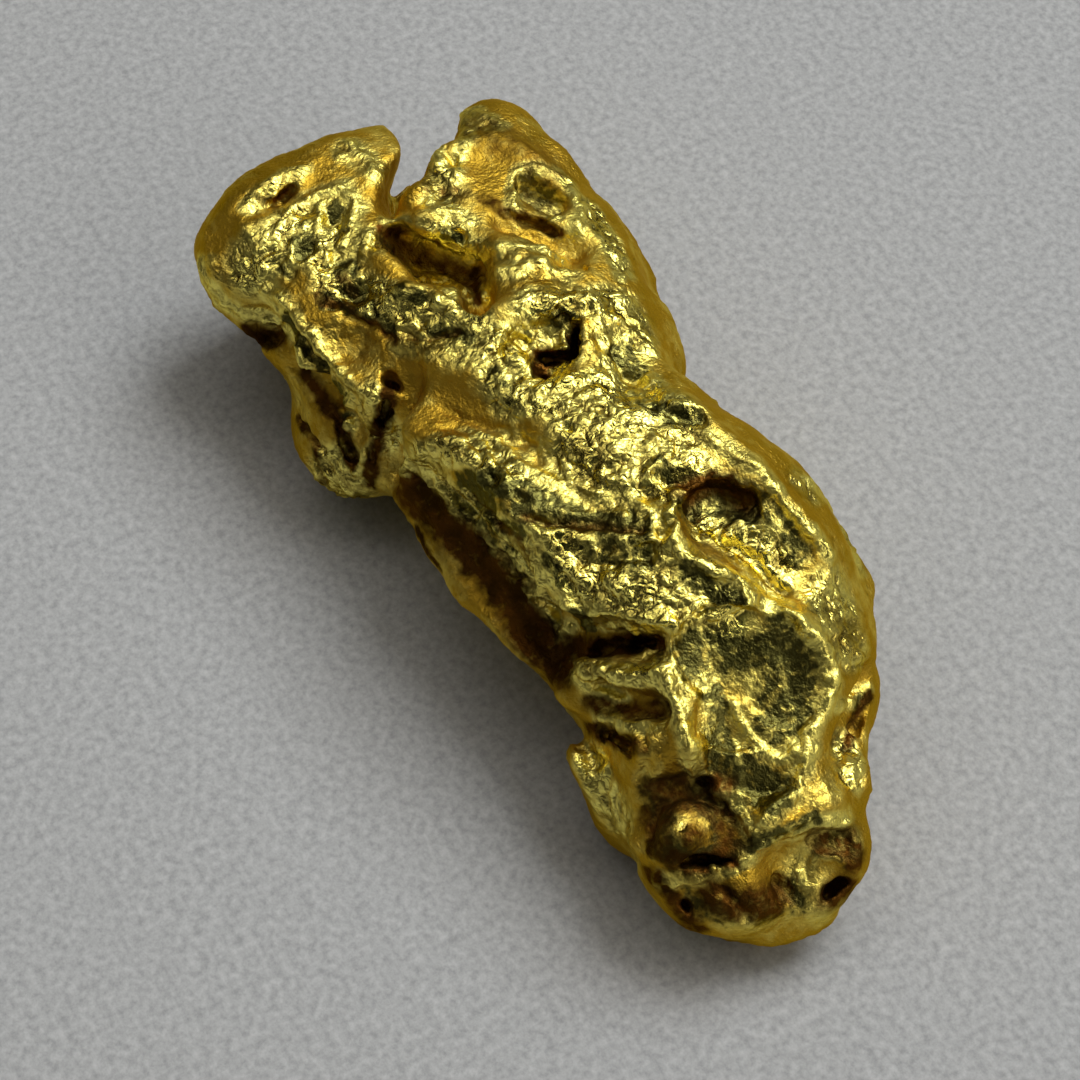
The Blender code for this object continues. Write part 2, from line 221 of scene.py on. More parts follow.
# lumps that stand in or over the hollows: half-width, depth along the view, path
lumps = placed({
    "hole bottom": (0.42, 0.48, ((545, 340, 2.8), (566, 344, 2.8))),
    "hole lump": (0.18, 0.26, ((558, 373, 3), (568, 374, 3))),
    "knob ball": (0.36, 0.3, ((689, 830, 1.68), (691, 832, 1.68))),
    "shelf end": (0.16, 0.16, ((420, 218, 2.95), (445, 228, 2.95))),
    "horn fill": (0.26, 0.16, ((258, 203, 2.62), (296, 182, 2.62))),
    "flank fill": (0.13, 0.35, ((405, 207, 2.7), (426, 187, 2.85))),
    "right lobe side": (0.34, 0.5, ((540, 160, 2.2), (575, 200, 2.2))),
    "waist side": (0.32, 0.5, ((642, 315, 2.1), (666, 365, 2.1))),
    "front foot": (0.28, 0.35, ((700, 915, 0.6), (800, 902, 0.6))),
    "hole left lip": (0.17, 0.24, ((508, 356, 3.12), (530, 374, 3.12))),
    "shelf front": (0.15, 0.2, ((414, 222, 2.88), (442, 232, 2.9))),
    "shelf far end": (0.13, 0.18, ((462, 240, 2.9), (484, 247, 2.9))),
    "right shoulder": (0.24, 0.5, ((862, 680, 1.1), (854, 730, 1.1))),
    "front corner foot": (0.26, 0.3, ((800, 905, 0.9), (834, 886, 0.9))),
    "front left foot": (0.26, 0.3, ((655, 872, 0.8), (700, 910, 0.7))),
    "right cheek": (0.2, 0.4, ((850, 822, 1.15), (856, 862, 1.05))),
    "fin top": (0.12, 0.3, ((572, 750, 1.25), (592, 792, 1.15))),
    "near rim": (0.15, 0.22, ((384, 262, 2.7), (410, 286, 2.88))),
    "front low foot": (0.26, 0.34, ((752, 928, 0.5), (818, 912, 0.6))),
})

# deep cuts: half-width, depth along the view, path
cuts = placed({
    "hole floor": (0.2, 0.2, ((534, 336, 3.25), (562, 330, 3.25))),
    "hole far slot": (0.06, 0.75, ((579, 322, 3.15), (578, 356, 3.15))),
    "hole near slot": (0.07, 0.75, ((538, 359, 3.15), (578, 358, 3.15))),
    "hole tail": (0.06, 0.55, ((540, 364, 3.15), (545, 382, 3.2))),
    "hole side pit": (0.09, 0.16, ((506, 350, 3.2), (516, 358, 3.2))),
    "slit": (0.11, 0.6, ((568, 654, 2.35), (606, 645, 2.6))),
    "slit far end": (0.08, 0.6, ((600, 648, 2.6), (652, 640, 2.85))),
    "lower pit": (0.12, 0.16, ((602, 706, 2.3), (658, 710, 2.6))),
    "fin gap": (0.09, 0.7, ((594, 726, 1.95), (632, 748, 2.2))),
    "crevice hole": (0.08, 0.6, ((388, 380), (402, 391))),
    "crevice": (0.06, 0.4, ((388, 402, 2.5), (376, 434, 2.2))),
    "crevice end": (0.07, 0.45, ((374, 440, 2.1), (370, 484, 1.5))),
    "lobe hole": (0.17, 0.34, ((256, 334), (276, 338))),
    "lobe groove": (0.1, 0.34, ((306, 374, 1.95), (340, 424, 1.8))),
    "lobe groove end": (0.12, 0.45, ((338, 426, 1.75), (351, 464, 1.5))),
    "under oval crevice": (0.08, 0.5, ((508, 214, 2.95), (556, 232, 2.9))),
    "block crevice": (0.06, 0.35, ((574, 244, 3), (584, 272, 3.1))),
    "recess floor": (0.15, 0.3, ((398, 240, 2.6), (440, 262, 2.6))),
    "recess floor end": (0.13, 0.34, ((440, 262, 2.65), (470, 290, 2.75))),
    "recess tail": (0.08, 0.5, ((474, 280, 2.9), (484, 322, 3.1))),
    "front hole": (0.06, 0.34, ((682, 900), (692, 914))),
    "front corner hole": (0.11, 0.42, ((826, 893, 1.2), (842, 884, 1.2))),
    "front upper hollow": (0.22, 0.2, ((826, 840), (846, 844))),
    "front face hollow": (0.14, 0.16, ((776, 884), (786, 900))),
    "knob crescent": (0.08, 0.5, ((672, 862, 1.62), (732, 862, 1.62))),
    "knob socket": (0.14, 0.26, ((656, 788, 2.05), (716, 784, 2.15))),
    "knob socket side": (0.07, 0.22, ((643, 812, 1.85), (641, 846, 1.65))),
    "notch": (0.09, 0.16, ((862, 700), (852, 736))),
    "lip gap": (0.05, 0.3, ((414, 530),)),
    "horn slit": (0.07, 0.24, ((262, 206, 2.76), (300, 184, 2.78))),
    "right trim": (0.16, 1.2, ((878, 764, 1), (874, 798, 0.9))),
})

# the outline of the fork's gap
forkGap = [
    (380, 120), (388, 129), (396, 136), (401, 147), (400, 160), (394, 176), (388, 194), (393, 199),
    (404, 190), (412, 183), (414, 170), (417, 158), (425, 148), (432, 140), (433, 122), (440, 108),
    (445, 85), (387, 81),
]
forkDepths = (0.80, 1.20)    # where the wedge starts and ends, as shares of the camera's distance


def egg(name, halfWidth, depth, path):      # an ellipsoid along the path, as deep as asked along the view
    bpy.ops.object.select_all(action="DESELECT")
    bpy.ops.mesh.primitive_ico_sphere_add(subdivisions=3, radius=1)
    shape = bpy.context.object
    shape.name = name
    start, end = path[0], path[-1]
    along = (end - start) - (end - start).dot(outward) * outward
    if along.length < 0.01:                 # a single spot has no direction of its own
        along = outward.orthogonal()
    reach = (end - start).length / 2 + halfWidth
    across = outward.cross(along).normalized()
    lean = ((end - start) if len(path) > 1 else along).normalized()
    axes = (lean * reach, across * halfWidth, outward * depth)
    middle = (start + end) / 2
    shape.matrix_world = Matrix([(*axis, 0) for axis in axes] + [(*middle, 1)]).transposed()
    bpy.ops.object.transform_apply(location=True, rotation=True, scale=True)
    return shape


def gapWedge():
    rings = []
    for share in forkDepths:
        for x, y in forkGap:
            eye, ray = sightLine(x, y)
            rings.append(eye + ray * view["distance"] * share)
    count = len(forkGap)
    sides = [(i, (i + 1) % count, count + (i + 1) % count, count + i) for i in range(count)]
    mesh = bpy.data.meshes.new("forkGap")
    mesh.from_pydata(rings, [], sides + [tuple(range(count))[::-1], tuple(range(count, 2 * count))])
    wedge = bpy.data.objects.new("forkGap", mesh)
    bpy.context.scene.collection.objects.link(wedge)
    pick(wedge)
    bpy.ops.object.mode_set(mode="EDIT")
    bpy.ops.mesh.select_all(action="SELECT")
    bpy.ops.mesh.normals_make_consistent(inside=False)
    bpy.ops.object.mode_set(mode="OBJECT")
    return wedge


def joined(piece, others):
    pick(piece)
    for other in others:
        other.select_set(True)
    bpy.ops.object.join()
    return piece


def carve(piece):
    joined(piece, [egg(name, *row) for name, row in lumps.items()])
    applied(piece, "REMESH", mode="VOXEL", voxel_size=skin["roughCell"])
    applied(piece, "SMOOTH", factor=skin["relaxFactor"], iterations=skin["roughPasses"])
    tools = [egg(name, *row) for name, row in cuts.items()]
    tool = joined(tools[0], tools[1:])
    applied(tool, "REMESH", mode="VOXEL", voxel_size=skin["toolCell"])
    corners = skinPoints(tool)
    stray = strayFrom(corners, skin["toolWanderSize"], skin["toolSeeds"])
    moveSkin(tool, corners + skin["toolWander"] * stray)
    joined(tool, [gapWedge()])
    applied(tool, "REMESH", mode="VOXEL", voxel_size=skin["toolCell"])     # one closed tool, so one clean cut
    applied(piece, "BOOLEAN", operation="DIFFERENCE", object=tool, solver="EXACT")
    bpy.data.objects.remove(tool)


carve(nugget)
print("carved", len(nugget.data.vertices))
applied(nugget, "REMESH", mode="VOXEL", voxel_size=skin["cell"])
applied(nugget, "SMOOTH", factor=skin["relaxFactor"], iterations=skin["relaxPasses"])
print("even skin", len(nugget.data.vertices), "points")


# patches where the metal is crinkled: reach, strength, path
crinkled = placed({
    "left lobe middle": (0.5, 0.9, ((250, 262), (300, 232), (336, 250))),
    "lobe patch": (0.34, 1, ((330, 280), (400, 306), (468, 322))),
    "patch low": (0.26, 0.7, ((400, 340), (460, 350))),
    "lobe line side": (0.18, 0.7, ((280, 300), (320, 350), (345, 390))),
    "lobe tip": (0.22, 0.6, ((345, 150), (378, 168))),
    "right lobe crest": (0.32, 1, ((444, 186),)),
    "shelf": (0.22, 0.8, ((395, 208), (462, 236))),
    "block": (0.3, 0.6, ((500, 266), (560, 268))),
    "hole surround": (0.34, 0.9, ((492, 345), (510, 400))),
    "hole near side": (0.3, 1, ((520, 400), (600, 385))),
    "hole far side": (0.3, 0.9, ((530, 304), (620, 304), (640, 335))),
    "hole right side": (0.2, 0.8, ((606, 330), (614, 370))),
    "middle patch": (0.58, 1, ((585, 405), (664, 425))),
    "middle band": (0.48, 1, ((580, 455), (640, 470), (690, 480))),
    "left ridge top": (0.26, 0.9, ((425, 455), (480, 448), (510, 478))),
    "belly patch": (0.46, 1, ((545, 550), (610, 580), (720, 615))),
    "belly right": (0.3, 0.9, ((640, 545), (700, 575))),
    "right patch": (0.38, 0.9, ((826, 592), (850, 650))),
    "oval floor": (0.34, 1, ((712, 520), (780, 565))),
    "oval outer side": (0.18, 0.6, ((796, 478), (818, 494))),
    "nose left": (0.24, 0.8, ((648, 636), (672, 690))),
    "nose fleck": (0.42, 0.45, ((700, 650), (790, 670), (770, 720), (740, 780))),
    "fin": (0.26, 0.9, ((590, 760), (618, 820))),
    "under ledge": (0.55, 1, ((335, 480),)),
    "brow": (0.2, 0.4, ((815, 800), (845, 770))),
    "front": (0.3, 0.4, ((700, 905), (780, 915))),
    "middle dark": (0.3, 0.8, ((540, 505), (640, 515))),
    "crevice side": (0.26, 0.9, ((368, 398), (384, 436))),
    "horn slit side": (0.16, 0.8, ((255, 205), (300, 178))),
    "lobe edge": (0.16, 0.5, ((205, 262), (232, 300))),
    "oval pit side": (0.22, 0.6, ((525, 180), (552, 212))),
    "knob": (0.34, 0.25, ((690, 832),)),
    "knob glint": (0.07, 1, ((683, 828),)),
    "front patch": (0.3, 0.5, ((800, 870), (815, 905))),
    "hole inside": (0.4, 0.9, ((530, 345, 2.95), (570, 350, 2.95))),
    "crest spots": (0.2, 0.7, ((488, 122),)),
    "hole lump": (0.18, 1, ((560, 373, 3.1),)),
    "hole lip": (0.14, 0.9, ((516, 352, 3.25), (534, 376, 3.25))),
    "recess far rim": (0.14, 0.8, ((425, 222), (442, 236), (462, 242), (486, 250))),
    "recess near rim": (0.16, 0.9, ((376, 246), (396, 274), (430, 284), (452, 288))),
    "front right": (0.24, 0.6, ((824, 846), (850, 840))),
    "blade": (0.1, 0.8, ((790, 876), (806, 912))),
    "column": (0.2, 0.5, ((652, 726), (650, 768))),
    "saddle": (0.32, 0.35, ((338, 330), (372, 366))),
    "channel": (0.16, 0.4, ((520, 440), (560, 452), (600, 470))),
    "ridge side": (0.26, 0.9, ((425, 472), (462, 498), (496, 530), (520, 560), (545, 596))),
    "ledge": (0.18, 0.9, ((572, 668), (640, 676))),
    "ridge side high": (0.24, 1, ((408, 468), (432, 478), (452, 494), (468, 510))),
    "notch foot": (0.2, 0.9, ((844, 744), (852, 776))),
    "far edge": (0.16, 0.9, ((590, 205), (612, 240), (624, 276))),
    "nose wedge": (0.18, 0.9, ((706, 680), (712, 740))),
    "nose root": (0.2, 0.7, ((748, 800), (800, 790))),
    "oval head": (0.26, 1, ((690, 498), (716, 490), (744, 500))),
    "oval far wall": (0.16, 0.7, ((744, 490), (776, 520), (800, 556))),
})

# flats that were rubbed level: reach, depth, path
rubbed = placed({
    "lobe facet high": (0.11, 0.02, ((335, 205), (334, 218))),
    "lobe facet": (0.11, 0.02, ((304, 236), (301, 254))),
    "lobe facet low": (0.08, 0.02, ((283, 270), (292, 272))),
    "lobe dark patch": (0.19, 0.03, ((343, 276), (356, 292))),
    "lobe pit facet": (0.08, 0.03, ((328, 296), (334, 304))),
    "patch facet": (0.12, 0.03, ((402, 290), (422, 298))),
    "patch facet low": (0.13, 0.03, ((374, 312), (386, 324))),
    "oval pit floor": (0.2, 0.08, ((530, 186), (550, 202))),
    "shelf facet": (0.1, 0.03, ((450, 234), (462, 240))),
    "crest facet": (0.07, 0.02, ((450, 150), (452, 160))),
    "hole side facet": (0.15, 0.03, ((626, 352), (634, 374))),
    "right facet high": (0.14, 0.03, ((668, 404), (694, 416))),
    "small facet": (0.08, 0.02, ((558, 420), (568, 424))),
    "ridge pit floor": (0.08, 0.03, ((488, 476), (494, 480))),
    "ridge facet": (0.14, 0.03, ((504, 492), (520, 502))),
    "ridge side facet": (0.16, 0.03, ((446, 492), (468, 512))),
    "middle facet": (0.11, 0.03, ((540, 518), (590, 514))),
    "oval head facet": (0.16, 0.03, ((668, 474), (728, 468))),
    "oval side facet": (0.12, 0.02, ((660, 500), (664, 530))),
    "oval far facet": (0.14, 0.04, ((772, 508), (800, 550))),
    "lower facet": (0.12, 0.03, ((604, 548), (648, 552))),
    "under rim facet": (0.15, 0.03, ((676, 578), (730, 596))),
    "arch facet": (0.13, 0.03, ((560, 582), (574, 612))),
    "belly edge facet": (0.14, 0.03, ((532, 616), (546, 634))),
    "nose facet": (0.5, 0.05, ((720, 650), (770, 660), (790, 680))),
    "nose facet middle": (0.34, 0.04, ((722, 720), (768, 720), (790, 700))),
    "nose facet low": (0.3, 0.05, ((735, 765), (772, 770))),
})

# crisp ridges: half-width, height, path
ridges = placed({
    "left rim": (0.11, 0.07, ((200, 264), (206, 282), (222, 300), (243, 314), (268, 319), (290, 327),
        (297, 345), (303, 367))),
    "facet outline": (0.12, 0.07, ((288, 214), (300, 202), (318, 194), (342, 188), (355, 204), (351, 232),
        (342, 245))),
    "facet bridge": (0.11, 0.06, ((320, 205), (317, 228), (322, 248), (330, 262))),
    "facet foot": (0.1, 0.05, ((268, 256), (285, 254), (305, 264), (318, 276))),
    "lobe line": (0.12, 0.09, ((264, 290), (280, 300), (300, 325), (324, 352), (346, 380), (349, 402),
        (349, 424))),
    "slit rim": (0.11, 0.06, ((248, 208), (262, 192), (282, 180), (305, 172))),
    "tip bump": (0.12, 0.05, ((352, 146), (368, 158), (376, 175))),
    "recess rim": (0.12, 0.07, ((368, 234), (381, 250), (398, 266), (416, 277), (440, 278), (456, 284),
        (474, 300))),
    "shelf edge": (0.11, 0.07, ((386, 220), (404, 220), (421, 230), (442, 242), (467, 254), (482, 254))),
    "shelf upper line": (0.11, 0.06, ((412, 203), (428, 206), (445, 210), (470, 222))),
    "recess right wall": (0.09, 0.05, ((486, 256), (484, 280), (486, 300))),
    "crest line": (0.12, 0.06, ((436, 150), (440, 172), (454, 186))),
    "crest second line": (0.1, 0.05, ((462, 112), (470, 128), (462, 150), (455, 175))),
    "crest top line": (0.11, 0.05, ((475, 112), (500, 125))),
    "oval pit rim": (0.1, 0.07, ((514, 206), (512, 186), (520, 170), (545, 168), (568, 182), (582, 206),
        (578, 226))),
    "block line": (0.12, 0.07, ((492, 282), (505, 272), (525, 268), (548, 260))),
    "block upper line": (0.1, 0.05, ((498, 250), (520, 243), (545, 248), (562, 262))),
    "hole top rim": (0.13, 0.08, ((523, 324), (545, 309), (570, 298), (592, 298), (625, 300))),
    "hole right rim": (0.12, 0.07, ((598, 318), (606, 345), (612, 372))),
    "hole left rim": (0.11, 0.08, ((484, 346), (505, 331), (523, 328))),
    "hole left lip": (0.08, 0.07, ((519, 348), (534, 366), (542, 386))),
    "hole right line": (0.1, 0.06, ((622, 322), (640, 335), (652, 352))),
    "left ridge line": (0.13, 0.08, ((420, 452), (440, 440), (475, 436), (500, 442), (515, 462), (540, 478),
        (575, 486), (600, 496))),
    "ridge loop": (0.07, 0.06, ((478, 470), (490, 462), (503, 468), (507, 484), (498, 493), (486, 490),
        (478, 482), (478, 470))),
    "ridge loop two": (0.07, 0.05, ((504, 486), (520, 478), (532, 488), (530, 506), (518, 512))),
    "middle line": (0.12, 0.07, ((600, 474), (620, 480), (640, 482), (655, 470), (668, 452))),
    "band lower line": (0.11, 0.06, ((628, 498), (650, 508), (652, 530), (640, 540))),
    "oval near rim": (0.11, 0.1, ((700, 486), (681, 494), (670, 513), (673, 538), (684, 557), (703, 565),
        (722, 571), (750, 590), (777, 607), (805, 626), (830, 650))),
    "oval far rim": (0.11, 0.08, ((736, 462), (758, 467), (772, 486), (786, 505), (797, 521), (816, 538),
        (832, 556))),
    "middle right line": (0.12, 0.07, ((640, 372), (668, 395), (700, 432), (730, 450), (760, 468))),
    "arch one": (0.08, 0.06, ((556, 566), (560, 546), (575, 536), (590, 540), (596, 556))),
    "arch two": (0.08, 0.06, ((598, 542), (612, 533), (626, 540), (630, 556), (618, 572))),
    "arch three": (0.09, 0.05, ((530, 542), (525, 556), (529, 572), (542, 582))),
    "band line": (0.12, 0.07, ((566, 606), (590, 614), (620, 612), (650, 622), (690, 624), (720, 614),
        (742, 600))),
    "nose left line": (0.14, 0.1, ((648, 650), (668, 680), (684, 730), (694, 771), (705, 785), (740, 812),
        (757, 834))),
    "nose right line": (0.14, 0.1, ((745, 584), (788, 611), (823, 646), (836, 690), (812, 722), (803, 771),
        (789, 796), (764, 820))),
    "nose inner line": (0.1, 0.08, ((729, 707), (743, 730), (754, 746), (782, 757), (796, 750))),
    "nose short line": (0.08, 0.05, ((732, 745), (738, 770), (740, 800))),
    "slit upper rim": (0.1, 0.06, ((566, 628), (590, 622), (625, 626), (655, 634))),
    "ledge crest": (0.16, 0.1, ((572, 664), (600, 672), (630, 674), (650, 672))),
    "ledge lower rim": (0.09, 0.07, ((562, 664), (580, 680), (600, 693), (622, 698))),
    "pit lower rim": (0.1, 0.05, ((600, 716), (630, 724), (660, 724))),
    "side top edge": (0.1, 0.06, ((400, 470), (437, 487), (476, 516), (480, 536), (505, 564), (515, 586),
        (546, 610), (560, 634))),
    "brow line": (0.13, 0.1, ((660, 882), (690, 880), (716, 872), (740, 861), (768, 840), (810, 826),
        (845, 820))),
    "right notch rim": (0.1, 0.06, ((838, 705), (850, 700), (866, 690))),
    "right notch lower rim": (0.1, 0.05, ((838, 752), (850, 768), (856, 785))),
    "front blade": (0.08, 0.1, ((798, 874), (812, 898))),
    "right rim line": (0.09, 0.04, ((806, 478), (845, 532), (860, 572))),
    "ledge inner line": (0.09, 0.06, ((352, 474), (362, 462), (372, 446), (382, 420))),
})

# creases, pits and holes: half-width, depth, path
creases = placed({
    "lobe hollow": (0.3, 0.08, ((222, 236), (236, 262))),
    "patch crack": (0.06, 0.08, ((400, 336), (430, 336), (458, 328))),
    "patch crack two": (0.05, 0.07, ((330, 306), (352, 318), (376, 330), (392, 340))),
    "oval pit": (0.22, 0.12, ((530, 188), (556, 204))),
    "hole upper": (0.09, 0.14, ((565, 320), (574, 335))),
    "ridge pit": (0.07, 0.12, ((489, 477), (492, 480))),
    "ridge pit two": (0.08, 0.08, ((518, 494), (521, 497))),
    "oval deep end": (0.2, 0.16, ((694, 504), (712, 498), (745, 504))),
    "oval floor groove": (0.08, 0.1, ((720, 536), (755, 560), (785, 590))),
    "dark line": (0.06, 0.06, ((524, 518), (560, 526), (600, 526), (640, 530))),
    "dark line two": (0.07, 0.1, ((500, 524), (476, 510), (462, 494))),
    "dark line three": (0.07, 0.08, ((470, 540), (500, 556), (516, 574))),
    "belly crack": (0.07, 0.1, ((536, 600), (556, 612), (560, 628))),
    "side hollow": (0.26, 0.07, ((436, 522), (500, 596), (552, 650))),
    "side hollow head": (0.2, 0.12, ((410, 486), (432, 510))),
    "brow shade": (0.06, 0.07, ((764, 840), (790, 833), (816, 822))),
    "channel streak": (0.06, 0.04, ((410, 402), (450, 410), (500, 430), (540, 460))),
    "channel streak two": (0.05, 0.03, ((420, 424), (460, 428), (500, 450))),
    "channel pit": (0.06, 0.1, ((524, 440), (532, 446))),
    "ledge crack": (0.05, 0.1, ((298, 420), (308, 428), (314, 440), (324, 452))),
    "ledge crack two": (0.05, 0.1, ((306, 462), (316, 468), (324, 484))),
    "front face groove": (0.07, 0.08, ((720, 890), (740, 905), (745, 920))),
    "column shade": (0.1, 0.08, ((640, 730), (646, 760), (640, 780))),
    "knob ring": (0.09, 0.07, ((649, 833), (660, 804), (690, 792), (722, 803))),
    "lobe strip": (0.09, 0.1, ((290, 320), (306, 344), (324, 370), (342, 402))),
})

# brown stains and painted shade, laid on stained and on shaded places alike: reach, strength, path
shadeAndStains = placed({
    "side band": (0.38, 1, ((408, 492), (440, 523), (471, 552), (490, 575), (508, 596), (531, 637),
        (562, 668))),
    "recess floor": (0.3, 0.7, ((386, 240), (402, 250), (430, 262), (456, 268), (474, 282))),
    "recess tail": (0.12, 1, ((474, 270), (480, 300))),
    "recess dark": (0.12, 1, ((380, 230), (396, 232))),
    "slit": (0.22, 1, ((566, 648), (610, 648), (654, 642))),
    "second pit": (0.19, 0.8, ((592, 704), (630, 712), (672, 708))),
    "fin gap": (0.16, 0.9, ((590, 730), (632, 746))),
    "hole slots": (0.2, 1, ((579, 322, 2.95), (578, 356, 2.95), (538, 359, 2.95), (542, 384, 2.95))),
    "hole floor": (0.26, 0.3, ((536, 338, 3.05), (566, 334, 3.05))),
    "crevice": (0.16, 1, ((390, 384), (388, 402), (376, 434), (370, 484))),
    "lobe hole": (0.22, 1, ((250, 336), (278, 338))),
    "lobe groove": (0.16, 1, ((306, 374), (340, 424), (352, 464))),
    "under oval crevice": (0.14, 0.8, ((482, 198), (508, 212), (540, 224), (562, 234))),
    "knob socket": (0.24, 0.8, ((652, 790), (690, 780), (722, 788))),
    "knob sides": (0.1, 0.8, ((643, 812), (650, 850), (680, 862), (732, 862))),
    "front corner": (0.28, 1, ((828, 896, 1), (842, 886, 1.1))),
    "front corner upper": (0.22, 0.7, ((830, 842),)),
    "front face": (0.34, 0.9, ((716, 896), (740, 906), (772, 900))),
    "front low": (0.3, 0.8, ((690, 925),)),
    "front hole": (0.09, 1, ((684, 902), (690, 914))),
    "notch": (0.12, 1, ((868, 696), (856, 724), (850, 744))),
    "right notch face": (0.2, 0.5, ((840, 740),)),
    "under ledge line": (0.08, 0.8, ((298, 420), (314, 440), (324, 484))),
    "oval head": (0.3, 0.9, ((690, 492), (716, 484), (742, 496))),
    "oval wall": (0.16, 0.5, ((686, 532), (730, 560), (776, 586))),
    "lip gap": (0.06, 1, ((414, 530), (440, 570))),
    "channel shade": (0.18, 0.3, ((392, 350), (440, 400), (500, 440))),
    "right lobe shade": (0.2, 0.35, ((520, 150), (560, 180))),
    "knob": (0.3, 0.8, ((694, 838),)),
    "knob side": (0.25, 0.75, ((662, 812), (657, 836), (667, 856), (690, 866), (716, 862), (728, 842),
        (724, 818), (704, 804), (682, 802))),
    "knob low": (0.12, 1, ((676, 858), (700, 868), (734, 862))),
    "oval pit": (0.2, 0.4, ((534, 186), (556, 204))),
    "patch crack": (0.08, 0.7, ((316, 296), (345, 306), (372, 325), (396, 342))),
    "patch crack two": (0.07, 0.6, ((400, 338), (430, 336), (458, 328))),
    "patch dark": (0.14, 0.6, ((343, 276), (356, 292))),
    "belly dark": (0.1, 0.6, ((524, 518), (560, 526), (600, 526), (640, 530))),
    "belly dark two": (0.1, 0.6, ((470, 500), (500, 524), (530, 560))),
    "horn slit": (0.1, 0.9, ((262, 204), (300, 184))),
    "fin foot": (0.12, 0.8, ((596, 726), (640, 752))),
    "saddle shade": (0.14, 0.1, ((340, 330), (372, 372))),
    "right lobe top": (0.5, 0.55, ((480, 130), (520, 150), (548, 172))),
    "front right": (0.26, 0.8, ((824, 846), (850, 838), (856, 862))),
    "front left": (0.16, 0.9, ((648, 872), (672, 896), (700, 930))),
    "crest foot": (0.18, 0.6, ((402, 196), (430, 190), (462, 194))),
})

# painted dark reflection in dull olive patches: reach, strength, path
paintedDarkReflection = placed({
    "lobe high": (0.13, 1, ((335, 205), (334, 216))),
    "lobe middle": (0.14, 1, ((304, 236), (300, 254))),
    "lobe low": (0.1, 0.9, ((281, 270), (294, 273))),
    "lobe dark": (0.22, 1, ((346, 270), (352, 295))),
    "lobe crack": (0.12, 1, ((326, 299), (358, 312), (392, 328))),
    "lobe strip": (0.13, 1, ((288, 318), (304, 342), (322, 368), (342, 400), (344, 420))),
    "patch": (0.16, 0.9, ((398, 290), (418, 298))),
    "patch low": (0.12, 0.9, ((436, 328), (472, 336))),
    "shelf pit": (0.12, 1, ((446, 234), (458, 240))),
    "oval pit": (0.24, 0.9, ((530, 184), (548, 204))),
    "hole left": (0.16, 1, ((506, 350), (520, 358))),
    "hole far": (0.14, 0.9, ((549, 322), (565, 318))),
    "hole right": (0.2, 0.9, ((620, 352), (636, 370))),
    "right high": (0.18, 0.9, ((660, 408), (690, 418))),
    "ridge pit": (0.12, 1, ((487, 478),)),
    "ridge dark": (0.22, 0.9, ((504, 490), (540, 505))),
    "ridge dark two": (0.24, 0.9, ((478, 512), (512, 528))),
    "middle dark": (0.22, 1, ((566, 518), (640, 526))),
    "oval upper": (0.16, 0.9, ((660, 468), (692, 478))),
    "oval head": (0.26, 1, ((696, 500), (735, 498))),
    "oval side": (0.16, 0.8, ((772, 508), (800, 550))),
    "lower": (0.13, 0.9, ((594, 556), (645, 560))),
    "arch": (0.14, 0.9, ((546, 562), (556, 570))),
    "pit": (0.16, 1, ((576, 615), (590, 626))),
    "belly edge": (0.14, 0.8, ((520, 618), (556, 630))),
    "under rim": (0.18, 0.9, ((684, 572), (736, 598))),
    "nose upper": (0.34, 0.85, ((690, 655), (740, 655))),
    "nose right": (0.4, 0.9, ((775, 640), (790, 670), (780, 720))),
    "nose left": (0.24, 0.9, ((712, 700), (722, 765))),
    "nose low": (0.36, 1, ((748, 775), (772, 790))),
    "brow": (0.12, 1, ((750, 845), (776, 832), (818, 818))),
    "belly mottle": (0.3, 0.7, ((470, 520), (520, 560))),
    "ridge mottle": (0.3, 1, ((470, 486), (520, 498), (560, 512))),
    "middle mottle": (0.24, 0.7, ((590, 540), (640, 556))),
    "lobe mottle": (0.16, 0.6, ((372, 312), (384, 324))),
    "patch mottle": (0.12, 0.8, ((360, 300), (378, 316))),
    "hole near mottle": (0.12, 0.7, ((494, 372), (510, 396))),
    "middle right mottle": (0.12, 0.7, ((636, 396), (650, 404))),
    "nose wedge": (0.16, 0.7, ((712, 690), (714, 740))),
    "knob ring": (0.26, 0.9, ((662, 806), (660, 836), (680, 862), (716, 862), (728, 838), (716, 806),
        (690, 796))),
    "front brown": (0.3, 0.7, ((690, 905), (740, 908), (790, 900))),
    "socket": (0.22, 0.8, ((652, 790), (722, 788))),
    "front right": (0.2, 0.8, ((830, 846), (850, 860))),
    "notch brown": (0.12, 0.7, ((862, 700), (850, 744))),
    "oval head dark": (0.3, 1, ((690, 500), (745, 505))),
    "oval far wall": (0.16, 0.7, ((744, 486), (776, 516), (800, 552))),
})

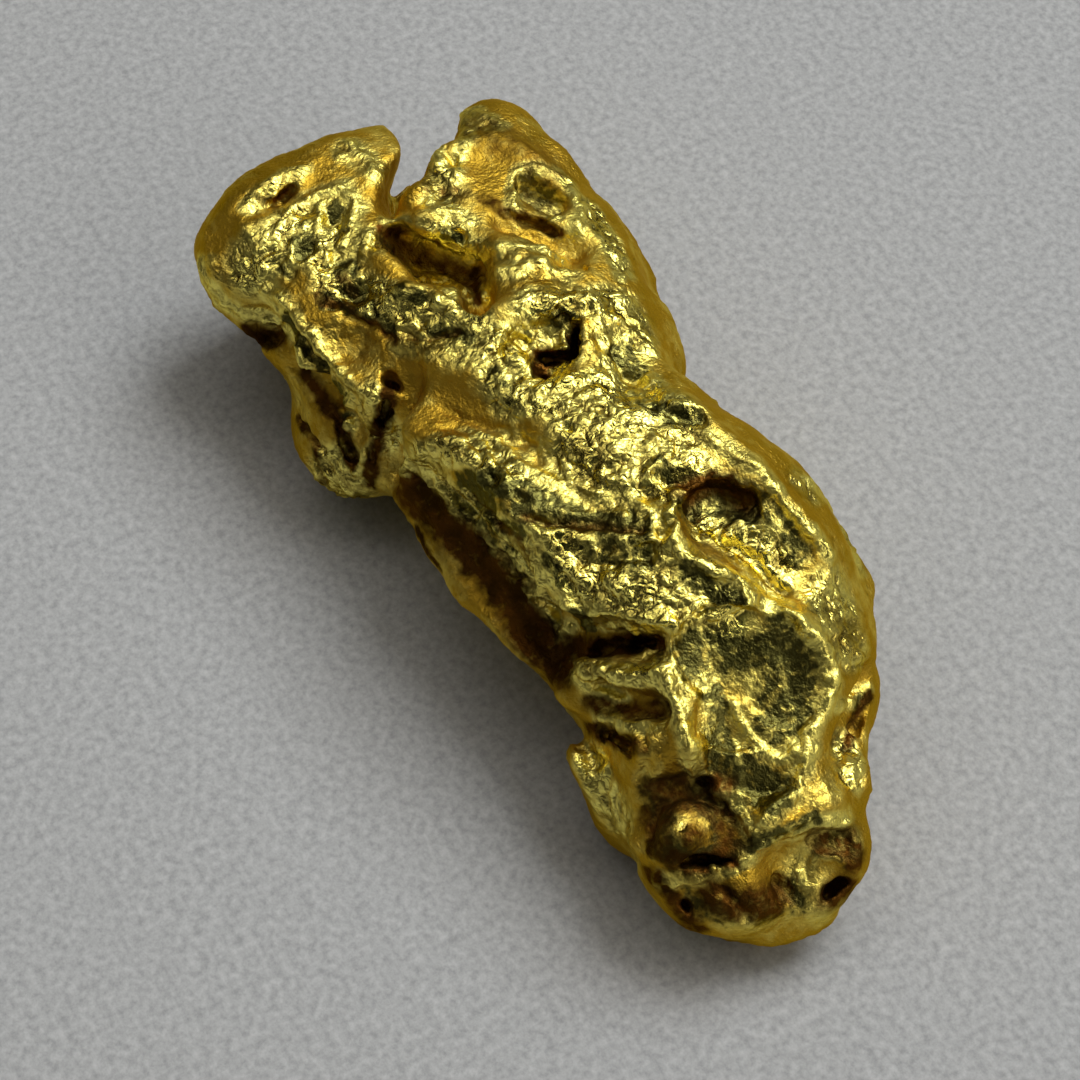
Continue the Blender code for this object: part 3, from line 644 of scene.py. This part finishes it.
relief = {
    "strokePress": 0.6,      # how much of the distance along the view counts
    "patchPress": 0.35,
    "patchEdge": 2.5,        # how steeply each kind of mark fades
    "rimEdge": 1.8,
    "shadeAndStainEdge": 1.5,
    "darkReflectionEdge": 2,
    "wander": 0.05,          # how far a stroke's edge strays from its path
    "wanderSize": 0.20,
    "wanderSeeds": (1, 2, 3),
    "ridgeSpread": 0.95,
    "ridgeRise": 0.8,
    "roofBend": 1.4,         # above 1 a ridge's sides are hollow
    "rimReach": 1.4,         # a rim as wide as this many ridges
    "rimCrinkle": 0.6,
    "creaseSpread": 0.8,     # painted shade and brown stain lie in the creases too
    "creaseShade": 3,
    "flatTilt": 0.07,
    "flatSeed": 5,
    "flatLimit": 0.22,
    "flatFade": 60,          # one over the depth that makes a flat smooth
    "flatCalm": 0.75,        # how much crinkle it loses
    "dentSize": 0.55,
    "dentDepth": 0.022,
    "dentSeed": 11,
    "crinkleSize": 0.40,
    "crinkleDepth": 0.11,
    "crinkleLevel": 0.6,     # pebbles higher than this stand out and the others sink in
    "crinkleWarp": 2.2,
    "plainShare": 0.22,      # crinkle left outside the crinkled patches
    "crestMiddle": 0.5,
    "crestScale": 1.1,
    "grainSize": 0.11,
    "grainDepth": 0.016,
    "plainGrain": 0.3,
    "grainSeed": 31,
    "hiddenSize": 0.9,       # patches of crinkle on the sides that the view doesn't show
    "hiddenCrinkle": 0.85,
    "hiddenFrom": 0.2,       # how far a side has to be turned away
    "hiddenSeeds": (61, 62),
}

# sizes of pebbles over one another: share of the size, shift, seed, share of the depth
pebbleKinds = ((1, 0, 21, 0.45), (0.5, 7, 22, 0.37), (0.28, 3, 23, 0.18))


def pressed(places, keep):      # a step along the view counts less than a step across it
    places = np.array(places)
    return places - (1 - keep) * (places @ viewSide)[:, None] * viewSide


def strokeSum(points, strokes, profile, spread=1):
    # the strongest stroke counts where strokes cross, which leaves a crisp line between them
    most = np.zeros(len(points))
    points = pressed(points, relief["strokePress"])
    for halfWidth, size, path in strokes.values():
        halfWidth = halfWidth * spread
        path = pressed(path, relief["strokePress"])
        low, high = path.min(axis=0) - halfWidth, path.max(axis=0) + halfWidth
        near = np.flatnonzero(np.all((points > low) & (points < high), axis=1))
        if len(near):
            ratio = awayFrom(points[near], path) / halfWidth
            most[near] = np.maximum(most[near], size * profile(ratio))
    return most


def patchShare(points, patches, edge):
    share = np.zeros(len(points))
    points = pressed(points, relief["patchPress"])
    for reach, strength, path in patches.values():
        away = awayFrom(points, pressed(path, relief["patchPress"]))
        fall = np.clip((1 - away / reach) * edge, 0, 1)
        share = np.maximum(share, strength * fall)
    return share


def rimShare(points):
    wide = relief["rimReach"]
    rims = {name: (halfWidth * wide, 1, path) for name, (halfWidth, size, path) in ridges.items()}
    return patchShare(points, rims, relief["rimEdge"])


def hiddenShare(points, normals):     # the back has patches of its own
    hidden = np.clip((relief["hiddenFrom"] - normals @ viewSide) * 3, 0, 1)
    broad, small = relief["hiddenSeeds"]
    patches = softNoise(points, relief["hiddenSize"], broad)
    patches += 0.5 * softNoise(points, relief["hiddenSize"] * 0.4, small)
    return relief["hiddenCrinkle"] * hidden * np.clip(patches * 5 - 0.2, 0, 1)


def crinkleShare(points, normals):    # ridges are lightly crinkled too
    share = patchShare(points, crinkled, relief["patchEdge"])
    share = np.maximum(share, relief["rimCrinkle"] * rimShare(points))
    return np.maximum(share, hiddenShare(points, normals))


def bowl(ratio):
    return np.clip(1 - ratio ** 2, 0, None)


def roof(ratio):
    return np.clip(1 - ratio, 0, None) ** relief["roofBend"]


def rubDown(points, strayed):
    # what stands above a slightly leaning plane is taken down to it
    cutDown, cutWay = np.zeros(len(points)), np.tile(viewSide, (len(points), 1))
    tilts = np.random.default_rng(relief["flatSeed"]).normal(0, relief["flatTilt"], (len(rubbed), 3))
    around = pressed(strayed, relief["patchPress"])
    for (reach, depth, path), tilt in zip(rubbed.values(), tilts):
        lean = viewSide + tilt
        lean /= np.linalg.norm(lean)
        nearness = awayFrom(around, pressed(path, relief["patchPress"])) / reach
        spots = np.argmin(np.linalg.norm(points[:, None] - np.array(path)[None], axis=2), axis=0)
        level = (points[spots] @ lean).mean() - depth
        above = np.clip(points @ lean - level, 0, relief["flatLimit"])
        here = np.where(nearness < 1, above, 0)
        better = here > cutDown
        cutDown[better] = here[better]
        cutWay[better] = lean
    return points - cutDown[:, None] * cutWay, cutDown


def crinkleCrest(points):
    crest = 0
    for part, move, seed, weight in pebbleKinds:
        pattern = pebbles(points + move, relief["crinkleSize"] * part, seed)
        crest = crest + weight * (pattern - relief["crinkleLevel"])
    return crest


def workRelief(piece):
    points, normals = skinPoints(piece), skinNormals(piece)
    strayed = points + relief["wander"] * strayFrom(points, relief["wanderSize"], relief["wanderSeeds"])
    share = crinkleShare(strayed, normals)
    points, cutDown = rubDown(points, strayed)
    crest = crinkleCrest(points + relief["crinkleWarp"] * (strayed - points))
    flatness = np.clip(cutDown * relief["flatFade"], 0, 1) * np.clip((share + 0.3) * 2, 0, 1)

    shift = relief["ridgeRise"] * strokeSum(strayed, ridges, roof, relief["ridgeSpread"])
    shift -= strokeSum(strayed, creases, bowl)
    shift += relief["dentDepth"] * softNoise(points, relief["dentSize"], relief["dentSeed"])
    amount = np.maximum(share, relief["plainShare"]) * (1 - relief["flatCalm"] * flatness)
    shift += relief["crinkleDepth"] * amount * crest
    grain = relief["plainGrain"] + (1 - relief["plainGrain"]) * share
    grain = grain * (1 - flatness) * softNoise(points, relief["grainSize"], relief["grainSeed"])
    shift += relief["grainDepth"] * grain

    # painted shade with brown stain along the creases, darker where they are deeper
    shadeInCreases = relief["creaseShade"] * strokeSum(strayed, creases, bowl, relief["creaseSpread"])
    keepMark(piece, "crinkle", share)
    keepMark(piece, "rim", rimShare(strayed))
    # this mark paints shade on shaded places as well as brown stains
    keepMark(piece, "shadeAndStain", np.maximum(patchShare(strayed, shadeAndStains, relief["shadeAndStainEdge"]), shadeInCreases))
    # the olive patches are painted dark reflection, kept for the material
    keepMark(piece, "paintedDarkReflection", patchShare(strayed, paintedDarkReflection, relief["darkReflectionEdge"]))
    keepMark(piece, "crest", relief["crestMiddle"] + relief["crestScale"] * crest)

    points = points + shift[:, None] * normals
    points[:, 2] = np.maximum(points[:, 2], skin["lowest"])
    moveSkin(piece, points)
    applied(piece, "SMOOTH", factor=skin["lastRelax"], iterations=1)


workRelief(nugget)
print("relief worked in")

pick(nugget)
nugget.data.calc_loop_triangles()
applied(nugget, "DECIMATE", ratio=min(1, skin["triangles"] / len(nugget.data.loop_triangles)))
resized(nugget, 1 / skin["perMillimetre"])
bpy.ops.object.shade_smooth()
print("skin thinned to", len(nugget.data.polygons), "faces")


# a noise is a scale and a detail, and a range turns its first two values into its last two
goldLook = {
    "pale": (1.0, 0.87, 0.20, 1),
    "deep": (0.52, 0.325, 0.030, 1),
    "crease": (0.16, 0.10, 0.016, 1),
    # painted dark reflection: the dull olive that dark surroundings give the metal
    "paintedDarkReflection": (0.075, 0.070, 0.018, 1),
    # dark browns for the stains, also painted as shade in hollows and shaded places
    "shadeAndGrime": (0.055, 0.025, 0.004, 1),
    "rustAndShade": (0.125, 0.050, 0.007, 1),
    "edge": (0.78, 0.60, 0.26, 1),      # the metal's tint seen along the surface
    "hollowReach": 260,      # smoothing rounds that a hollow is measured against
    "hollowDepths": (0.08, 0.30),
    # painted shade: how strongly a hollow's depth darkens the colour
    "hollowShade": 0.6,
    "patchNoise": (1100, 5),
    "patchRange": (0.35, 0.65, -0.35, 0.35),
    "fleckNoise": (6000, 3),
    "fleckRange": (0.35, 0.65, -0.18, 0.18),
    "bendNoise": (7000, 2),
    "bendReach": 0.16,       # how far the flakes' edges wander
    "flakeScale": 7500,
    "flakeDarkReflection": (0, 1, 1, 0.4),       # fewer flakes in the patches of painted dark reflection
    "lineRange": (0.02, 0.10, 0.75, 0),
    "lineNoise": (2600, 3),
    "linePatches": (0.42, 0.60, 0, 1),
    "lowRange": (0.20, 0.44, 0.62, 0),
    "spotNoise": (11000, 5),
    "spotCrest": 0.4,        # the rest of a spot's level is noise
    "spotLevel": (0, 1, 0.20, 0.56),
    "spotRange": (-0.06, 0.12, 0.95, 0),
    "shadeDirtNoise": (9000, 5),
    "shadeDirtRagged": (0.3, 0.7, -0.25, 0.25),
    "shadeDirtRange": (0, 0.9, 0, 1),
    "shadeDirtEdge": (0, 0.6, 0, 1),
    "shadeDirtRough": 0.15,
    "brownNoise": (3000, 4),
    "brownRange": (0.40, 0.62, 0, 1),
    "roughRange": (0, 1, 0.47, 0.27),   # from plain metal to crinkled
    "roughNoise": (2500, 3),
    "roughPatches": (0.3, 0.7, -0.07, 0.08),
    "pillowRange": (0, 0.25, 0, 1),
    "pillowHeight": (0, 1, 0.1, 1),     # from plain metal to flakes, and so for the next heights
    "grainNoise": (13000, 4),
    "grainHeight": (0, 1, 3.0, 0.7),
    "rippleNoise": (4500, 3),
    "rippleHeight": 1.8,
    "sparkleNoise": (27000, 2),
    "sparkleHeight": (0, 1, 1.8, 0.8),
    "bump": 0.5,
    "bumpDepth": 0.016,
}


def markHollows(piece):       # how deep each point lies in a hollow
    pick(piece)
    bpy.ops.object.duplicate()
    rounded = bpy.context.object
    applied(rounded, "SMOOTH", factor=0.5, iterations=goldLook["hollowReach"])
    depth = np.sum((skinPoints(rounded) - skinPoints(piece)) * skinNormals(rounded), axis=1) / mm
    bpy.data.objects.remove(rounded)
    shallow, full = goldLook["hollowDepths"]
    keepMark(piece, "hollow", (depth - shallow) / (full - shallow))
    pick(piece)


markHollows(nugget)
print("hollows marked")


def wire(tree, node, values):          # sets a node's inputs, or links them where the value is a socket
    for name, value in values.items():
        if isinstance(value, bpy.types.NodeSocket):
            tree.links.new(value, node.inputs[name])
        else:
            node.inputs[name].default_value = value


def added(tree, kind, values, **settings):
    node = tree.nodes.new("ShaderNode" + kind)
    for name, value in settings.items():
        setattr(node, name, value)
    wire(tree, node, values)
    return node


def newMaterial(name):
    material = bpy.data.materials.new(name)
    material.use_nodes = True
    tree = material.node_tree
    return material, tree, tree.nodes["Principled BSDF"], added(tree, "TexCoord", {}).outputs["Object"]


def goldMaterial():
    material, tree, shader, place = newMaterial("native gold")

    def noise(name, output="Fac"):
        scale, detail = goldLook[name]
        return added(tree, "TexNoise", {"Vector": place, "Scale": scale, "Detail": detail}).outputs[output]

    def calc(operation, first, second):
        return added(tree, "Math", {0: first, 1: second}, operation=operation).outputs[0]

    def ranged(value, name):
        ends = dict(zip(("From Min", "From Max", "To Min", "To Max"), goldLook[name]))
        return added(tree, "MapRange", {"Value": value, **ends}).outputs["Result"]

    def mixed(factor, first, second):
        inputs = {"Factor": factor, "A": first, "B": second}
        return added(tree, "Mix", inputs, data_type="RGBA").outputs["Result"]

    def attribute(name):
        return added(tree, "Attribute", {}, attribute_name=name).outputs["Fac"]

    def flakeEdges():         # distance to the nearest edge between flakes, which wander a little
        push = {0: noise("bendNoise", "Color"), "Scale": goldLook["bendReach"] * mm}
        push = added(tree, "VectorMath", push, operation="SCALE").outputs[0]
        bent = added(tree, "VectorMath", {0: place, 1: push}, operation="ADD").outputs[0]
        cell = {"Vector": bent, "Scale": goldLook["flakeScale"]}
        return added(tree, "TexVoronoi", cell, feature="DISTANCE_TO_EDGE").outputs["Distance"]

    # dull carries the patches of painted dark reflection
    crinkle, rim, crest, dull = attribute("crinkle"), attribute("rim"), attribute("crest"), attribute("paintedDarkReflection")
    flake = flakeEdges()
    flaky = calc("MULTIPLY", crinkle, ranged(dull, "flakeDarkReflection"))

    # fresh pale metal on the crinkles and the ridges, deeper gold elsewhere
    patchy, fleck = ranged(noise("patchNoise"), "patchRange"), ranged(noise("fleckNoise"), "fleckRange")
    fresh = calc("ADD", calc("ADD", calc("MAXIMUM", crinkle, rim), patchy), fleck)
    color = mixed(fresh, goldLook["deep"], goldLook["pale"])

    # thin brown lines between the flakes of the crinkled patches
    line = calc("MULTIPLY", ranged(flake, "lineRange"), flaky)
    line = calc("MULTIPLY", line, ranged(noise("lineNoise"), "linePatches"))
    color = mixed(line, color, goldLook["crease"])

    # the low places between the crinkles are dark, and olive spots of painted dark reflection lie in them,
    # more of them in the patches of painted dark reflection
    color = mixed(calc("MULTIPLY", ranged(crest, "lowRange"), flaky), color, goldLook["crease"])
    speckle = calc("MULTIPLY", noise("spotNoise"), 1 - goldLook["spotCrest"])
    spots = calc("ADD", calc("MULTIPLY", crest, goldLook["spotCrest"]), speckle)
    spare = calc("SUBTRACT", spots, ranged(dull, "spotLevel"))
    color = mixed(ranged(spare, "spotRange"), color, goldLook["paintedDarkReflection"])

    # painted shade and brown dirt: the hollows darkened by their depth, and the places of shade and stain,
    # with ragged edges
    shadeAndDirt = calc("MAXIMUM", calc("MULTIPLY", attribute("hollow"), goldLook["hollowShade"]), attribute("shadeAndStain"))
    ragged = calc("ADD", shadeAndDirt, ranged(noise("shadeDirtNoise"), "shadeDirtRagged"))
    shadeAndDirt = calc("MULTIPLY", ranged(ragged, "shadeDirtRange"), ranged(shadeAndDirt, "shadeDirtEdge"))
    brown = mixed(ranged(noise("brownNoise"), "brownRange"), goldLook["shadeAndGrime"], goldLook["rustAndShade"])
    color = mixed(shadeAndDirt, color, brown)

    rough = calc("ADD", ranged(crinkle, "roughRange"), ranged(noise("roughNoise"), "roughPatches"))
    rough = calc("ADD", rough, calc("MULTIPLY", shadeAndDirt, goldLook["shadeDirtRough"]))

    pillow = calc("MULTIPLY", ranged(flake, "pillowRange"), ranged(flaky, "pillowHeight"))
    grain = calc("MULTIPLY", noise("grainNoise"), ranged(flaky, "grainHeight"))
    ripple = calc("MULTIPLY", noise("rippleNoise"), goldLook["rippleHeight"])
    sparkle = calc("MULTIPLY", noise("sparkleNoise"), ranged(flaky, "sparkleHeight"))
    height = calc("ADD", calc("ADD", pillow, grain), calc("ADD", ripple, sparkle))
    bump = {"Height": height, "Strength": goldLook["bump"], "Distance": goldLook["bumpDepth"] * mm}
    bump = added(tree, "Bump", bump).outputs["Normal"]
    wire(tree, shader, {"Base Color": color, "Roughness": rough, "Normal": bump})
    wire(tree, shader, {"Metallic": 1, "Specular Tint": goldLook["edge"]})
    return material


nugget.data.materials.clear()
nugget.data.materials.append(goldMaterial())
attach(nugget, "root")
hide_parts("nugget")
print("gold laid on")


paper = {
    "halfWidth": 120,
    "pale": (0.465, 0.47, 0.475, 1),
    "dull": (0.29, 0.295, 0.30, 1),
    "tones": (0.32, 0.68),   # where in the noise the dull and the pale fibres lie
    "roughness": 0.9,
    "fibre": 9000,
    "fibreDetail": 5,
    "fibreRoughness": 0.65,
    "bump": 0.35,
    "bumpDepth": 0.02,
}


def paperFloor():
    bpy.ops.object.select_all(action="DESELECT")
    bpy.ops.mesh.primitive_plane_add(size=2 * paper["halfWidth"] * mm, location=(0, 0, 0))
    floor = bpy.context.object
    floor.name = "paper"
    material, tree, shader, place = newMaterial("pale paper")
    fibre = {"Vector": place, "Scale": paper["fibre"], "Detail": paper["fibreDetail"]}
    fibre = added(tree, "TexNoise", {**fibre, "Roughness": paper["fibreRoughness"]}).outputs["Fac"]
    tone = added(tree, "ValToRGB", {"Fac": fibre})
    for element, spot, color in zip(tone.color_ramp.elements, paper["tones"], (paper["dull"], paper["pale"])):
        element.position = spot
        element.color = color
    bump = {"Height": fibre, "Strength": paper["bump"], "Distance": paper["bumpDepth"] * mm}
    bump = added(tree, "Bump", bump).outputs["Normal"]
    wire(tree, shader, {"Base Color": tone.outputs["Color"], "Roughness": paper["roughness"], "Normal": bump})
    floor.data.materials.append(material)


paperFloor()
print("paper laid")


def makeCamera():
    camera = bpy.data.objects.new("camera", bpy.data.cameras.new("camera"))
    bpy.context.scene.collection.objects.link(camera)
    camera.data.lens = view["lens"]
    camera.data.sensor_width = view["sensor"]
    camera.data.clip_start = view["nearest"] * mm
    camera.data.clip_end = view["farthest"] * mm
    camera.location = (Vector(view["aim"]) + outward * view["distance"]) * mm
    camera.rotation_euler = (-outward).to_track_quat("-Z", "Y").to_euler()
    bpy.context.scene.camera = camera


makeCamera()

studio = {
    "tint": (0.93, 0.97, 1.0),
    # soft boxes: azimuth, elevation, distance and width in millimetres, power
    "boxes": {
        "window": (190, 57, 200, 100, 0.25),
        "far wall": (240, 35, 240, 120, 0.02),
    },
    # the room's color, from 0 for what is square to the camera's side to 1 for the camera's own place
    "room": (
        (0.00, (0.02, 0.015, 0.010, 1)),
        (0.34, (0.05, 0.044, 0.036, 1)),
        (0.46, (0.25, 0.24, 0.22, 1)),
        (0.56, (1.95, 1.84, 1.68, 1)),
        (0.78, (2.3, 2.18, 2.0, 1)),
        (0.82, (0.07, 0.08, 0.06, 1)),
        (1.00, (0.04, 0.05, 0.035, 1)),
    ),
    "brightSide": (195, 20),     # azimuth and elevation
    "dimFrom": -0.5,
    "dimTo": 0.45,
    "dimmest": 0.05,
}


def makeLights():
    for name, (azimuth, elevation, distance, width, power) in studio["boxes"].items():
        lamp = bpy.data.lights.new(name, "AREA")
        lamp.size = width * mm
        lamp.energy = power
        lamp.color = studio["tint"]
        holder = bpy.data.objects.new(name, lamp)
        bpy.context.scene.collection.objects.link(holder)
        out = towards(azimuth, elevation)
        holder.location = out * distance * mm
        holder.rotation_euler = out.to_track_quat("Z", "Y").to_euler()


def makeRoom():
    world = bpy.data.worlds.new("room")
    bpy.context.scene.world = world
    world.use_nodes = True
    tree = world.node_tree
    direction = added(tree, "TexCoord", {}).outputs["Generated"]

    def nearness(side):       # how nearly a direction of the room points to a side
        return added(tree, "VectorMath", {0: direction, 1: side}, operation="DOT_PRODUCT").outputs["Value"]

    tone = added(tree, "ValToRGB", {"Fac": nearness(outward)})
    ramp = tone.color_ramp.elements
    ramp.remove(ramp[0])
    for index, (spot, color) in enumerate(studio["room"]):
        element = ramp.new(spot) if index else ramp[0]
        element.position = spot
        element.color = color
    # the side of the room behind the camera is dimmer
    dim = {"From Min": studio["dimFrom"], "From Max": studio["dimTo"], "To Min": studio["dimmest"]}
    dim["Value"] = nearness(towards(*studio["brightSide"]))
    dim = added(tree, "MapRange", dim).outputs["Result"]
    wire(tree, tree.nodes["Background"], {"Color": tone.outputs["Color"], "Strength": dim})


makeLights()
makeRoom()
bpy.context.scene.view_settings.view_transform = "Standard"
print("light and camera set")

print("done")
